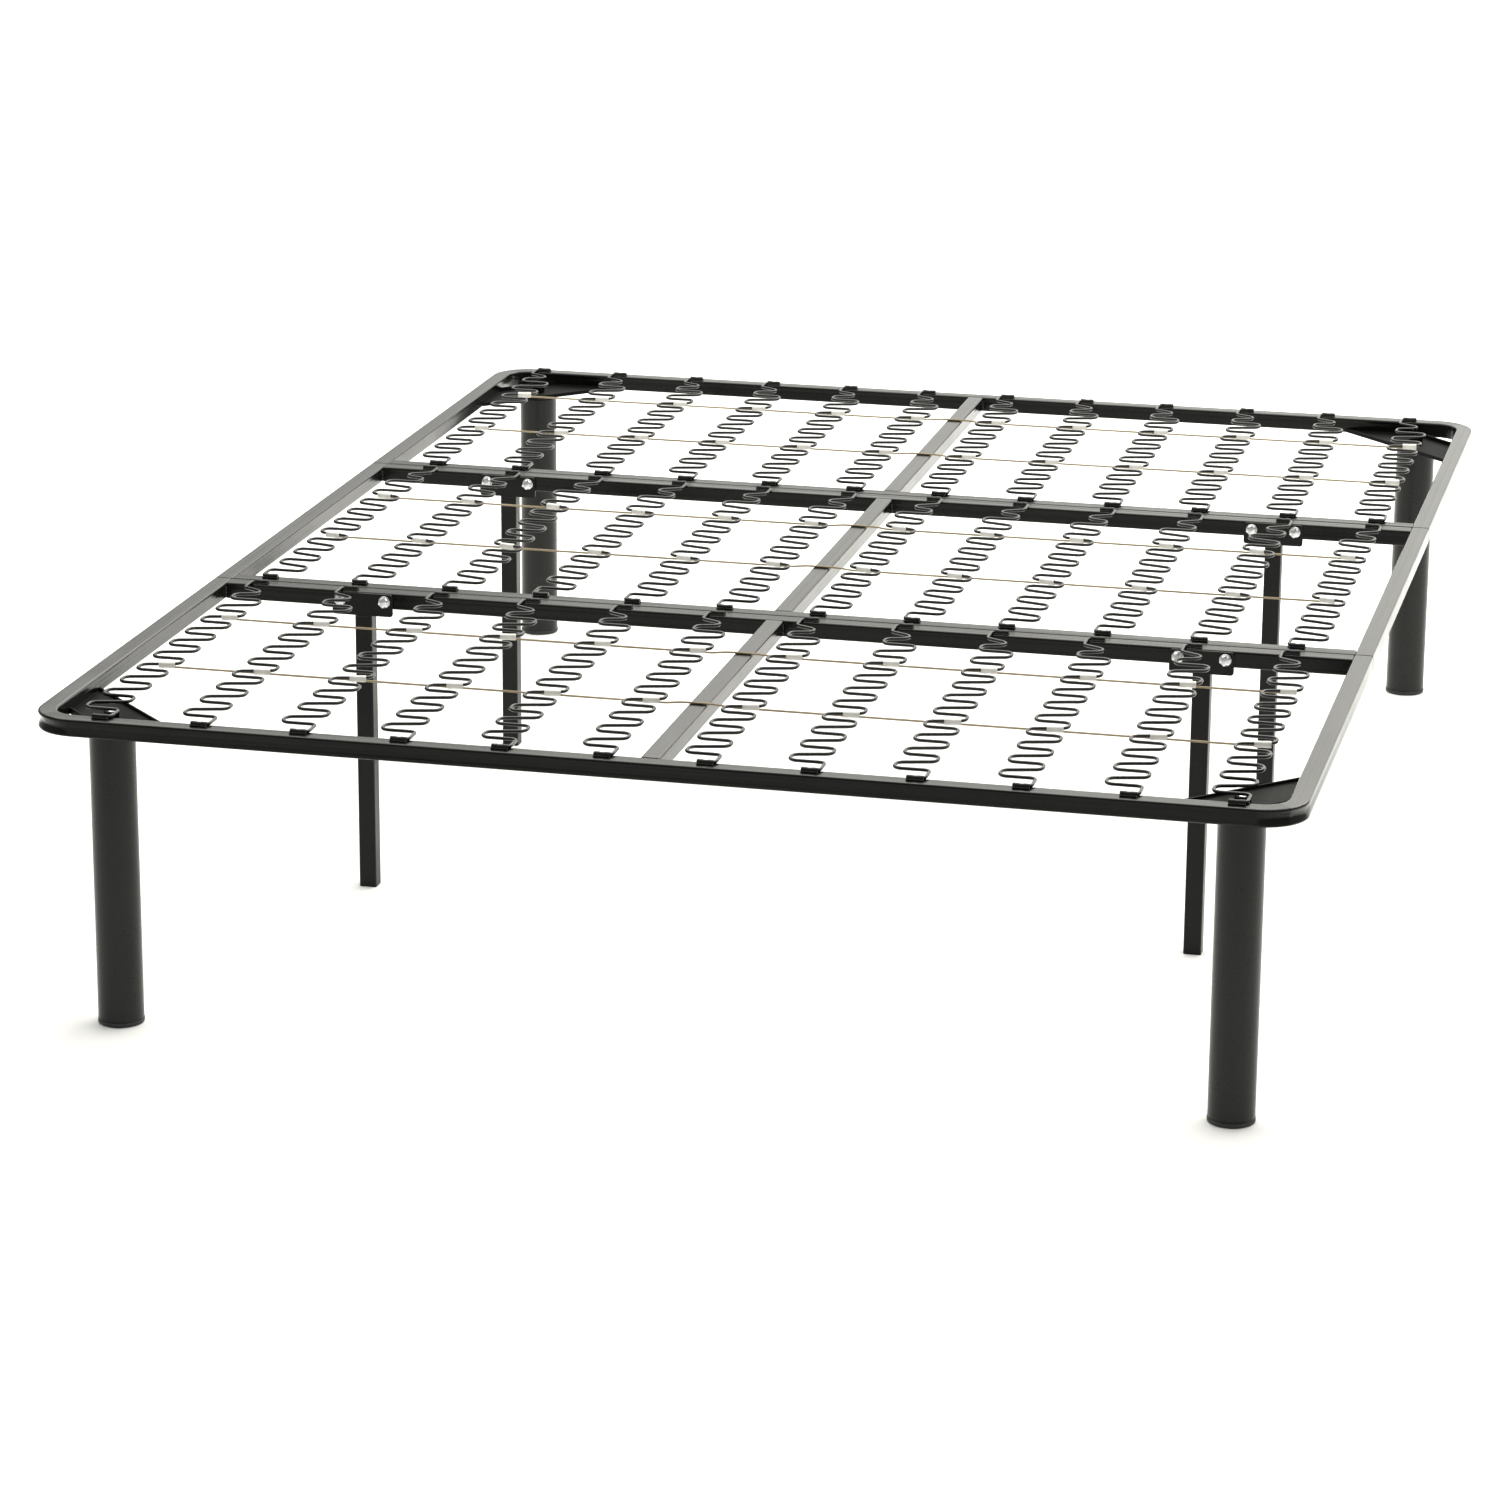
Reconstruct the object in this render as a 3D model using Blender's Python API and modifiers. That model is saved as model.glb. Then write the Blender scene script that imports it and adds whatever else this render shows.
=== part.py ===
"""Metal platform bed frame: three welded panels of square tube, bolted end to end.

X runs across the bed, Y from the foot end to the head end and Z up. The origin lies on
the floor under the middle of the frame. All sizes are in metres.
"""
from math import cos, pi, radians, sin

import bmesh
import bpy
from mathutils import Matrix

FIT = 0.0003

BED_WIDTH = 1.524
BED_LENGTH = 2.032
BED_HEIGHT = 0.404
PANEL_COUNT = 3
PANEL_PITCH = BED_LENGTH / PANEL_COUNT
PANEL_GAP = 0.001
PANEL_NAMES = ("front", "middle", "rear")

TUBE_WIDTH = 0.0235
TUBE_HEIGHT = 0.0215
TUBE_EDGE = 0.002
TUBE_BOTTOM = BED_HEIGHT - TUBE_HEIGHT
CORNER_RADIUS = 0.055
CORNER_STEPS = 6

BRACE_NEAR = 0.113
BRACE_FAR = 0.216
BRACE_THICKNESS = 0.004
BRACE_OVERLAP = 0.0025
BRACE_BOTTOM = TUBE_BOTTOM + FIT
WELD_NUT_FLATS = 0.017
WELD_NUT_HEIGHT = 0.008
WELD_NUT_SINK = 0.0005

LEG_INSET = 0.080
LEG_RADIUS = 0.028
LEG_WALL = 0.0018
LEG_TOP_DISC = 0.004
LEG_STEPS = 20
LEG_TOP = BRACE_BOTTOM - FIT
STUD_RADIUS = 0.005
STUD_TIP = 0.0005

FOOT_RADIUS = 0.0285
FOOT_RIM = 0.006
FOOT_PLUG = 0.015

SUPPORT_X = 0.5505
SUPPORT_SIZE = 0.023
SUPPORT_WELD = 0.0005
BRACKET_LENGTH = 0.082
BRACKET_HEIGHT = 0.030
BRACKET_THICKNESS = 0.003
BRACKET_TOP_DROP = 0.001
BRACKET_EDGE = 0.0004

BOLT_SPREAD = 0.030
BOLT_RADIUS = 0.004
BOLT_FLATS = 0.013
BOLT_HEAD = 0.0053
BOLT_NUT = 0.0065
BOLT_TIP = 0.002
BOLT_Z = BED_HEIGHT - TUBE_HEIGHT / 2
BOLT_STEPS = 12
HEX_SINK = 0.0002

SPRINGS_PER_SIDE = 6
SPRING_PITCH = 0.1232
SPRING_SHIFTS = (-0.0045, -0.002, -0.002)
WIRE_RADIUS = 0.0019
SPRING_HALF = 0.0221
SPRING_END_INSET = 0.016
SPRING_FIRST_BAR = 0.049
SPRING_LOOPS = 10
SPRING_LEAN = 0.012
SPRING_Z = BED_HEIGHT + WIRE_RADIUS + FIT

CLIP_LENGTH = 0.020
CLIP_DEPTH = 0.012
CLIP_HEIGHT = 0.0055
CLIP_SETBACK = 0.0015
CLIP_LIFT = 0.0002
WIRE_TAIL = 0.018

CUTTER_SPARE = 0.01
WELD_DISTANCE = 0.00001
SLIVER_HEIGHT = 0.000001

BLACK_PAINT = ((0.022, 0.022, 0.023), 0.34, 0.0)
BLACK_WIRE = ((0.016, 0.016, 0.017), 0.30, 0.0)
BLACK_PLASTIC = ((0.018, 0.018, 0.018), 0.62, 0.0)
ZINC = ((0.70, 0.71, 0.72), 0.28, 1.0)


def clear_scene():
    """Remove the objects of the open scene."""
    for item in list(bpy.data.objects):
        bpy.data.objects.remove(item, do_unlink=True)


def make_collection(name, hidden=False):
    """Add a collection to the scene."""
    group = bpy.data.collections.new(name)
    group.hide_render = hidden
    bpy.context.scene.collection.children.link(group)
    return group


def make_material(name, look):
    """Make a Principled material from a colour, a roughness and a metallic value."""
    colour, roughness, metallic = look
    material = bpy.data.materials.new(name)
    material.use_nodes = True
    shader = material.node_tree.nodes["Principled BSDF"]
    shader.inputs["Base Color"].default_value = (*colour, 1.0)
    shader.inputs["Roughness"].default_value = roughness
    shader.inputs["Metallic"].default_value = metallic
    material.diffuse_color = (*colour, 1.0)
    return material


def add_object(name, mesh, material, group, location=(0.0, 0.0, 0.0)):
    """Put a mesh in a collection as an object of its own."""
    piece = bpy.data.objects.new(name, mesh)
    piece.location = location
    if material and not mesh.materials:
        mesh.materials.append(material)
    group.objects.link(piece)
    return piece


def longest_edge(face):
    """Give the longest edge of a face."""
    return max(face.edges, key=lambda edge: edge.calc_length())


def find_sliver(shape):
    """Give a face that is next to nothing high above its longest edge, or None."""
    for face in shape.faces:
        if face.calc_area() < SLIVER_HEIGHT * longest_edge(face).calc_length():
            return face
    return None


def drop_slivers(shape):
    """Join each face that has no height to its neighbour across its longest edge."""
    sliver = find_sliver(shape)
    while sliver:
        bmesh.ops.dissolve_edges(shape, edges=[longest_edge(sliver)], use_verts=False)
        sliver = find_sliver(shape)


def curve_to_mesh(name, curve):
    """Turn a curve into a closed mesh, with its caps welded on."""
    guide = bpy.data.objects.new(name + "_guide", curve)
    bpy.context.scene.collection.objects.link(guide)
    evaluated = guide.evaluated_get(bpy.context.evaluated_depsgraph_get())
    mesh = bpy.data.meshes.new_from_object(evaluated)
    mesh.name = name
    shape = bmesh.new()
    shape.from_mesh(mesh)
    bmesh.ops.remove_doubles(shape, verts=shape.verts, dist=WELD_DISTANCE)
    drop_slivers(shape)
    bmesh.ops.recalc_face_normals(shape, faces=shape.faces)
    shape.to_mesh(mesh)
    shape.free()
    bpy.data.objects.remove(guide, do_unlink=True)
    return mesh


def flat_mesh(name, outlines, thickness, edge=0.0):
    """Extrude flat outlines to a plate whose mid-plane is Z = 0; inner outlines are windows."""
    curve = bpy.data.curves.new(name, "CURVE")
    curve.dimensions = "2D"
    curve.fill_mode = "BOTH"
    curve.extrude = thickness / 2 - edge
    curve.bevel_depth = edge
    curve.bevel_resolution = 0
    curve.offset = -edge
    for outline in outlines:
        spline = curve.splines.new("POLY")
        spline.points.add(len(outline) - 1)
        for point, (x, y) in zip(spline.points, outline):
            point.co = (x, y, 0.0, 1.0)
        spline.use_cyclic_u = True
    return curve_to_mesh(name, curve)


def box_mesh(name, size):
    """Make a box of the given size about the origin."""
    mesh = bpy.data.meshes.new(name)
    shape = bmesh.new()
    bmesh.ops.create_cube(shape, size=1.0)
    bmesh.ops.scale(shape, vec=size, verts=shape.verts)
    shape.to_mesh(mesh)
    shape.free()
    return mesh


def prism_mesh(name, radius, height, steps, along="Z"):
    """Make a prism or cylinder about the origin, along Z or Y."""
    mesh = bpy.data.meshes.new(name)
    shape = bmesh.new()
    bmesh.ops.create_cone(
        shape, cap_ends=True, segments=steps, radius1=radius, radius2=radius, depth=height
    )
    if along == "Y":
        turn = Matrix.Rotation(radians(90), 3, "X")
        bmesh.ops.rotate(shape, matrix=turn, verts=shape.verts)
    shape.to_mesh(mesh)
    shape.free()
    return mesh


def combine(piece, tool_mesh, place, operation, tools):
    """Add a Boolean with a hidden tool object to a piece."""
    tool = add_object(piece.name + "_tool_" + str(len(piece.modifiers)), tool_mesh, None, tools, place)
    tool.hide_render = True
    tool.display_type = "WIRE"
    boolean = piece.modifiers.new(operation.lower() + str(len(piece.modifiers)), "BOOLEAN")
    boolean.operation = operation
    boolean.solver = "EXACT"
    boolean.object = tool
    return tool


def turned_piece(name, profile, material, group, location):
    """Turn a profile of (radius, height) points about Z with a Screw modifier."""
    mesh = bpy.data.meshes.new(name)
    shape = bmesh.new()
    points = [shape.verts.new((radius, 0.0, height)) for radius, height in profile]
    for first, second in zip(points, points[1:]):
        shape.edges.new((first, second))
    shape.to_mesh(mesh)
    shape.free()
    piece = add_object(name, mesh, material, group, location)
    screw = piece.modifiers.new("turn", "SCREW")
    screw.axis = "Z"
    screw.angle = 2 * pi
    screw.steps = LEG_STEPS
    screw.render_steps = LEG_STEPS
    screw.use_merge_vertices = True
    screw.merge_threshold = WELD_DISTANCE
    screw.use_smooth_shade = True


def panel_span(index):
    """Give the front and back Y of a panel."""
    front = -BED_LENGTH / 2 + index * PANEL_PITCH
    back = front + PANEL_PITCH
    if index > 0:
        front += PANEL_GAP / 2
    if index < PANEL_COUNT - 1:
        back -= PANEL_GAP / 2
    return front, back


def joint_y(index):
    """Give the Y of the gap behind a panel."""
    return -BED_LENGTH / 2 + (index + 1) * PANEL_PITCH


def round_corner(centre_x, centre_y, radius, start_degrees):
    """Give the points of a quarter circle, turning anticlockwise."""
    points = []
    for step in range(CORNER_STEPS + 1):
        angle = radians(start_degrees + 90 * step / CORNER_STEPS)
        points.append((centre_x + radius * cos(angle), centre_y + radius * sin(angle)))
    return points


def rounded_box(left, right, front, back, radii):
    """Outline a rectangle with a radius at its front left, front right, back right, back left."""
    corners = ((left, front, 1, 1), (right, front, -1, 1), (right, back, -1, -1), (left, back, 1, -1))
    outline = []
    for turn, (x, y, inward_x, inward_y) in enumerate(corners):
        radius = radii[turn]
        if radius:
            centre = (x + inward_x * radius, y + inward_y * radius)
            outline += round_corner(*centre, radius, 180 + 90 * turn)
        else:
            outline.append((x, y))
    return outline


def panel_outlines(index):
    """Outline a panel and the two windows between its rails, about the panel's own centre."""
    front, back = panel_span(index)
    middle = (front + back) / 2
    front -= middle
    back -= middle
    outer = [0.0, 0.0, 0.0, 0.0]
    if index == 0:
        outer[0] = outer[1] = CORNER_RADIUS
    if index == PANEL_COUNT - 1:
        outer[2] = outer[3] = CORNER_RADIUS
    inner = [max(radius - TUBE_WIDTH, 0.0) for radius in outer]
    half = BED_WIDTH / 2
    window_front = front + TUBE_WIDTH
    window_back = back - TUBE_WIDTH
    left = rounded_box(
        -half + TUBE_WIDTH, -TUBE_WIDTH / 2, window_front, window_back, (inner[0], 0, 0, inner[3])
    )
    right = rounded_box(
        TUBE_WIDTH / 2, half - TUBE_WIDTH, window_front, window_back, (0, inner[1], inner[2], 0)
    )
    return [rounded_box(-half, half, front, back, outer), left, right]


def brace_outline(side, end):
    """Outline the diagonal plate across one corner, about that outer corner of the bed."""
    start = TUBE_WIDTH - BRACE_OVERLAP
    near = BRACE_NEAR - start
    far = BRACE_FAR - start
    points = [(start, near), (near, start), (far, start), (start, far)]
    return [(-side * x, -end * y) for x, y in points]


def add_brace(frame, side, end, tools):
    """Weld a corner brace with its nut to a frame, and drill it for the leg's stud."""
    corner_x = side * BED_WIDTH / 2
    corner_y = end * BED_LENGTH / 2
    plate = flat_mesh("brace_plate", [brace_outline(side, end)], BRACE_THICKNESS)
    combine(frame, plate, (corner_x, corner_y, BRACE_BOTTOM + BRACE_THICKNESS / 2), "UNION", tools)
    stud_x = corner_x - side * LEG_INSET
    stud_y = corner_y - end * LEG_INSET
    nut_bottom = BRACE_BOTTOM + BRACE_THICKNESS - WELD_NUT_SINK
    nut_height = WELD_NUT_HEIGHT + WELD_NUT_SINK
    nut = prism_mesh("brace_nut", WELD_NUT_FLATS / 2 / cos(pi / 6), nut_height, 6)
    combine(frame, nut, (stud_x, stud_y, nut_bottom + nut_height / 2), "UNION", tools)
    hole = prism_mesh("brace_hole", STUD_RADIUS + FIT, TUBE_HEIGHT + CUTTER_SPARE, BOLT_STEPS)
    combine(frame, hole, (stud_x, stud_y, BOLT_Z), "DIFFERENCE", tools)


def bolt_places():
    """List the name and the X of each bolt along one joint."""
    places = []
    for side_name, side in (("left", -1), ("right", 1)):
        for bolt_name, offset in (("outer", side * BOLT_SPREAD), ("inner", -side * BOLT_SPREAD)):
            places.append((side_name + "_" + bolt_name, side * SUPPORT_X + offset))
    return places


def drill_tube(frame, tube_y, tools):
    """Drill the bolt holes of one joint through a cross tube."""
    for _, x in bolt_places():
        hole = prism_mesh("bolt_hole", BOLT_RADIUS + FIT, TUBE_WIDTH + CUTTER_SPARE, BOLT_STEPS, "Y")
        combine(frame, hole, (x, tube_y, BOLT_Z), "DIFFERENCE", tools)


def build_frame(index, material, parts, tools):
    """Build one welded panel frame, with the braces of the outer corners it has."""
    front, back = panel_span(index)
    frame_y = (front + back) / 2
    mesh = flat_mesh("frame_" + PANEL_NAMES[index], panel_outlines(index), TUBE_HEIGHT, TUBE_EDGE)
    frame = add_object("frame_" + PANEL_NAMES[index], mesh, material, parts, (0, frame_y, BOLT_Z))
    if index == 0:
        for side in (-1, 1):
            add_brace(frame, side, -1, tools)
    else:
        drill_tube(frame, front + TUBE_WIDTH / 2, tools)
    if index == PANEL_COUNT - 1:
        for side in (-1, 1):
            add_brace(frame, side, 1, tools)
    else:
        drill_tube(frame, back - TUBE_WIDTH / 2, tools)


def corners():
    """List the name, the X side and the Y end of each outer corner."""
    return (("front_left", -1, -1), ("front_right", 1, -1), ("rear_left", -1, 1), ("rear_right", 1, 1))


def build_corner_leg(name, side, end, material, parts):
    """Build a round tube leg with a closed top and the stud that screws into the brace's nut."""
    x = side * (BED_WIDTH / 2 - LEG_INSET)
    y = end * (BED_LENGTH / 2 - LEG_INSET)
    bottom = FOOT_RIM + FIT
    disc_bottom = LEG_TOP - LEG_TOP_DISC
    stud_top = BRACE_BOTTOM + BRACE_THICKNESS + WELD_NUT_HEIGHT + STUD_TIP
    inner = LEG_RADIUS - LEG_WALL
    profile = [
        (0.0, stud_top),
        (STUD_RADIUS, stud_top),
        (STUD_RADIUS, LEG_TOP),
        (LEG_RADIUS, LEG_TOP),
        (LEG_RADIUS, bottom),
        (inner, bottom),
        (inner, disc_bottom),
        (0.0, disc_bottom),
    ]
    turned_piece("leg_" + name, profile, material, parts, (x, y, 0.0))


def build_foot_cap(name, side, end, material, parts):
    """Build the plastic cap that plugs the bottom of a round leg."""
    x = side * (BED_WIDTH / 2 - LEG_INSET)
    y = end * (BED_LENGTH / 2 - LEG_INSET)
    plug = LEG_RADIUS - LEG_WALL - FIT
    profile = [
        (0.0, FOOT_RIM + FOOT_PLUG),
        (plug, FOOT_RIM + FOOT_PLUG),
        (plug, FOOT_RIM),
        (FOOT_RADIUS, FOOT_RIM),
        (FOOT_RADIUS, 0.0),
        (0.0, 0.0),
    ]
    turned_piece("foot_cap_" + name, profile, material, parts, (x, y, 0.0))


def bracket_outline():
    """Outline the bracket plate in its own plane, about its middle."""
    half_x = BRACKET_LENGTH / 2
    half_z = BRACKET_HEIGHT / 2
    return [(-half_x, -half_z), (half_x, -half_z), (half_x, half_z), (-half_x, half_z)]


def build_support_leg(name, side, index, material, parts, tools):
    """Build a square leg under a joint, with the bracket plate welded across its head."""
    face_y = joint_y(index) - PANEL_GAP / 2 - TUBE_WIDTH - FIT
    leg_height = TUBE_BOTTOM - FIT
    leg_y = face_y - SUPPORT_WELD + SUPPORT_SIZE / 2
    mesh = box_mesh("support_leg_" + name, (SUPPORT_SIZE, SUPPORT_SIZE, leg_height))
    leg = add_object("support_leg_" + name, mesh, material, parts, (side * SUPPORT_X, leg_y, leg_height / 2))
    plate = flat_mesh("bracket_plate", [bracket_outline()], BRACKET_THICKNESS, BRACKET_EDGE)
    plate_z = BED_HEIGHT - BRACKET_TOP_DROP - BRACKET_HEIGHT / 2
    plate_place = Matrix.Translation((side * SUPPORT_X, face_y - BRACKET_THICKNESS / 2, plate_z))
    tool = combine(leg, plate, (0, 0, 0), "UNION", tools)
    tool.matrix_world = plate_place @ Matrix.Rotation(radians(90), 4, "X")
    for offset in (-BOLT_SPREAD, BOLT_SPREAD):
        hole = prism_mesh("bracket_hole", BOLT_RADIUS + FIT, CUTTER_SPARE, BOLT_STEPS, "Y")
        place = (side * SUPPORT_X + offset, face_y - BRACKET_THICKNESS / 2, BOLT_Z)
        combine(leg, hole, place, "DIFFERENCE", tools)


def build_bolt(name, x, index, material, parts, tools):
    """Build a hex bolt with its nut, through a bracket and the two tubes of a joint."""
    bracket_face = joint_y(index) - PANEL_GAP / 2 - TUBE_WIDTH - FIT - BRACKET_THICKNESS
    tube_back = joint_y(index) + PANEL_GAP / 2 + TUBE_WIDTH
    head_back = bracket_face - FIT
    nut_front = tube_back + FIT
    shank_front = head_back - HEX_SINK
    shank_back = nut_front + BOLT_NUT + BOLT_TIP
    shank_y = (shank_front + shank_back) / 2
    hex_radius = BOLT_FLATS / 2 / cos(pi / 6)
    mesh = prism_mesh("bolt_" + name, BOLT_RADIUS, shank_back - shank_front, BOLT_STEPS, "Y")
    bolt = add_object("bolt_" + name, mesh, material, parts, (x, shank_y, BOLT_Z))
    head = prism_mesh("bolt_head", hex_radius, BOLT_HEAD, 6, "Y")
    combine(bolt, head, (x, head_back - BOLT_HEAD / 2, BOLT_Z), "UNION", tools)
    nut = prism_mesh("bolt_nut", hex_radius, BOLT_NUT, 6, "Y")
    combine(bolt, nut, (x, nut_front + BOLT_NUT / 2, BOLT_Z), "UNION", tools)


def spring_path(hand):
    """Give the (across, along) points of a spring from the front edge of its panel.

    Every other bar runs straight across and the bars between them lean back, so the wire
    gains ground on the leaning bars and in the bends. hand mirrors the wire across the bed.
    """
    last_bar = PANEL_PITCH - SPRING_FIRST_BAR
    loop = (last_bar - SPRING_FIRST_BAR) / SPRING_LOOPS
    bend = (loop - SPRING_LEAN) / 2
    reach = SPRING_HALF
    front = [
        (reach - WIRE_TAIL, SPRING_END_INSET),
        (reach, SPRING_END_INSET),
        (reach, SPRING_FIRST_BAR),
    ]
    waves = []
    for turn in range(SPRING_LOOPS):
        bar = SPRING_FIRST_BAR + turn * loop
        leaning_end = bar + bend + SPRING_LEAN
        waves += [(-reach, bar), (-reach, bar + bend), (reach, leaning_end), (reach, bar + loop)]
    rear = [(-across, PANEL_PITCH - along) for across, along in reversed(front)]
    path = front + waves[:-1] + rear
    return [(hand * across, along) for across, along in path]


def spring_mesh(name, hand, material, parts, tools):
    """Make the mesh of a spring with the two clips that hold its ends, panel front at Y = 0."""
    curve = bpy.data.curves.new(name, "CURVE")
    curve.dimensions = "3D"
    curve.bevel_depth = WIRE_RADIUS
    curve.bevel_resolution = 0
    curve.use_fill_caps = True
    path = spring_path(hand)
    spline = curve.splines.new("POLY")
    spline.points.add(len(path) - 1)
    for point, (across, along) in zip(spline.points, path):
        point.co = (across, along, 0.0, 1.0)
    wire = add_object(name, curve_to_mesh(name, curve), material, parts)
    middle = SPRING_HALF - CLIP_SETBACK - CLIP_LENGTH / 2
    clip_z = CLIP_HEIGHT / 2 - WIRE_RADIUS + CLIP_LIFT
    for across, along in (
        (hand * middle, SPRING_END_INSET),
        (-hand * middle, PANEL_PITCH - SPRING_END_INSET),
    ):
        clip = box_mesh("clip", (CLIP_LENGTH, CLIP_DEPTH, CLIP_HEIGHT))
        combine(wire, clip, (across, along, clip_z), "UNION", tools)
    evaluated = wire.evaluated_get(bpy.context.evaluated_depsgraph_get())
    mesh = bpy.data.meshes.new_from_object(evaluated)
    mesh.name = name + "_with_clips"
    bpy.data.objects.remove(wire, do_unlink=True)
    return mesh


def build_springs(material, parts, tools):
    """Lay the springs in every panel, each row a little off centre; the middle row is mirrored."""
    meshes = {hand: spring_mesh("spring_wire", hand, material, parts, tools) for hand in (1, -1)}
    for index, panel in enumerate(PANEL_NAMES):
        hand = -1 if index == 1 else 1
        front = -BED_LENGTH / 2 + index * PANEL_PITCH
        for number in range(2 * SPRINGS_PER_SIDE):
            x = SPRING_SHIFTS[index] + (number - SPRINGS_PER_SIDE + 0.5) * SPRING_PITCH
            name = "spring_{}_{:02d}".format(panel, number + 1)
            add_object(name, meshes[hand], material, parts, (x, front, SPRING_Z))


def main():
    """Build the whole bed frame."""
    clear_scene()
    parts = make_collection("platform_bed_frame")
    tools = make_collection("platform_bed_frame_tools", hidden=True)
    paint = make_material("black_paint", BLACK_PAINT)
    leg_paint = make_material("leg_paint", BLACK_PAINT)
    wire = make_material("spring_enamel", BLACK_WIRE)
    plastic = make_material("foot_plastic", BLACK_PLASTIC)
    zinc = make_material("zinc_plate", ZINC)
    for index in range(PANEL_COUNT):
        build_frame(index, paint, parts, tools)
    for name, side, end in corners():
        build_corner_leg(name, side, end, leg_paint, parts)
        build_foot_cap(name, side, end, plastic, parts)
    for index, joint in enumerate(("front", "rear")):
        for side_name, side in (("left", -1), ("right", 1)):
            build_support_leg(joint + "_" + side_name, side, index, leg_paint, parts, tools)
        for bolt_name, x in bolt_places():
            build_bolt(joint + "_" + bolt_name, x, index, zinc, parts, tools)
    build_springs(wire, parts, tools)
    bpy.context.view_layer.update()


main()
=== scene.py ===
"""Looks for the metal platform bed frame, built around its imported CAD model.

The rails, legs, springs and bolts are rebuilt here as finished meshes in the places that the
CAD nodes hold, and the tie wires are added. Metres, +Z up, the foot end at -Y.
"""
from math import atan2, cos, pi, radians, sin, sqrt

import bmesh
import bpy
from mathutils import Matrix, Vector


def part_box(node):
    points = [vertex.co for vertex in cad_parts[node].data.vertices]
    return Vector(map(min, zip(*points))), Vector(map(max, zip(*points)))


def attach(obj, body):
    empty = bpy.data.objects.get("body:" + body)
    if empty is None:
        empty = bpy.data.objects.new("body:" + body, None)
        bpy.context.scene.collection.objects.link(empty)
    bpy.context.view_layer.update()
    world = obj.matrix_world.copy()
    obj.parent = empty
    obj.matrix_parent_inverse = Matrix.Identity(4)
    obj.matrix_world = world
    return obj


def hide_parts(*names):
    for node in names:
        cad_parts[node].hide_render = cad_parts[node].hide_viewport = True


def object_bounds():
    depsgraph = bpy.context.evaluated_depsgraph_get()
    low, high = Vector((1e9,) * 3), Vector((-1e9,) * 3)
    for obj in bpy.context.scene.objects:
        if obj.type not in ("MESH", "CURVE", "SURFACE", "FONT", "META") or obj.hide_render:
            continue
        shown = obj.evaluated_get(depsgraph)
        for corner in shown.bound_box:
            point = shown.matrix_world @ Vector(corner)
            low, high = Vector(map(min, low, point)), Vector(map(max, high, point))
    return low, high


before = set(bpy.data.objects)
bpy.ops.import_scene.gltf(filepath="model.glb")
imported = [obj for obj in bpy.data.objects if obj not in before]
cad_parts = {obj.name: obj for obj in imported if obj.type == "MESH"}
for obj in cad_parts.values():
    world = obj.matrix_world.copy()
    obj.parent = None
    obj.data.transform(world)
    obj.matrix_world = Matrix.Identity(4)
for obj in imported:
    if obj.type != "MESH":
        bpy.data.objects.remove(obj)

CAD_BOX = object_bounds()
PANELS = ("front", "middle", "rear")
CORNERS = (("front_left", -1, -1), ("front_right", 1, -1), ("rear_left", -1, 1), ("rear_right", 1, 1))
SPRINGS = 12

# Camera: where it stands and how it is turned, from the fitted view.
CAMERA_PLACE = (1.3573, -6.2062, 2.0277)
CAMERA_YAW = -0.23322
CAMERA_PITCH = 0.29106
CAMERA_ROLL = 0.00642
CAMERA_LENS = 116.71

# Lights: the even light of the room, then each soft box: place, target, size and power in watts.
WORLD_LIGHT = 0.36
SOFT_BOXES = (
    ("over_box", (0.3, 1.2, 3.8), (0.3, 1.2, 0.0), (7.0, 5.6), 410.0),
    ("far_box", (0.2, 7.0, 4.6), (0.2, 7.0, 0.0), (11.0, 5.0), 460.0),
    ("floor_box", (1.0, 2.2, 3.2), (0.9, 1.6, 0.0), (4.0, 4.0), 50.0),
    ("back_box_side", (4.0, 9.0, 2.5), (4.0, 0.0, 2.5), (3.0, 4.2), 76.0),
    ("back_box_right", (0.65, 9.0, 2.5), (0.65, 0.0, 2.5), (3.7, 4.2), 69.0),
    ("back_box_middle", (-2.1, 9.0, 2.5), (-2.1, 0.0, 2.5), (1.8, 4.2), 27.0),
    ("back_box_left", (-4.1, 9.0, 2.5), (-4.1, 0.0, 2.5), (2.2, 4.2), 19.0),
)

# Rails: the section of the tube and how its outer wall sinks in a bend.
TUBE_WIDTH = 0.0235
TUBE_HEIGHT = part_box("frame_middle")[1].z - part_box("frame_middle")[0].z
TUBE_ROUND = 0.0026
BEND_RADIUS = 0.055
BEND_STEPS = 28
BEND_SINK = 0.0042
SINK_SPAN = 0.86
FLAT_EDGE = 0.0004
ARC_STEPS = 5
WALL_POINTS = 9
END_SOFT = 0.0013
GRAIN_DEPTH = 0.0009
REST_GAP = 0.0003

# Corner plates: where they cross the corner, their folded sheet and the weld nut on them.
PLATE_NEAR = 0.113
PLATE_FAR = 0.216
PLATE_SHEET = 0.0025
PLATE_TUCK = 0.0012
LIP_NEAR = 0.0085
LIP_FAR = 0.0060
FOLD = 0.0016
WELD_NUT_ACROSS = 0.017
WELD_NUT_TOP = 0.0118
WELD_NUT_CHAMFER = 0.0009
BEAD_MARGIN = 0.006

# Round legs, their studs and their foot caps.
LEG_WALL = 0.0018
LEG_LID = 0.004
LEG_GROOVE = 0.0045
STUD_CREST = 0.0050
STUD_ROOT = 0.0043
STUD_PITCH = 0.0016
TURNED_SIDES = 72

# Support legs with their bracket plates and end plugs.
SUPPORT_SIZE = 0.023
SUPPORT_ROUND = 0.0026
SUPPORT_WALL = 0.0014
PLUG_DEPTH = 0.010
BRACKET_HEIGHT = 0.030
BRACKET_SHEET = 0.003
BRACKET_ROUND = 0.004
BRACKET_SOFT = 0.0004

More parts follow.
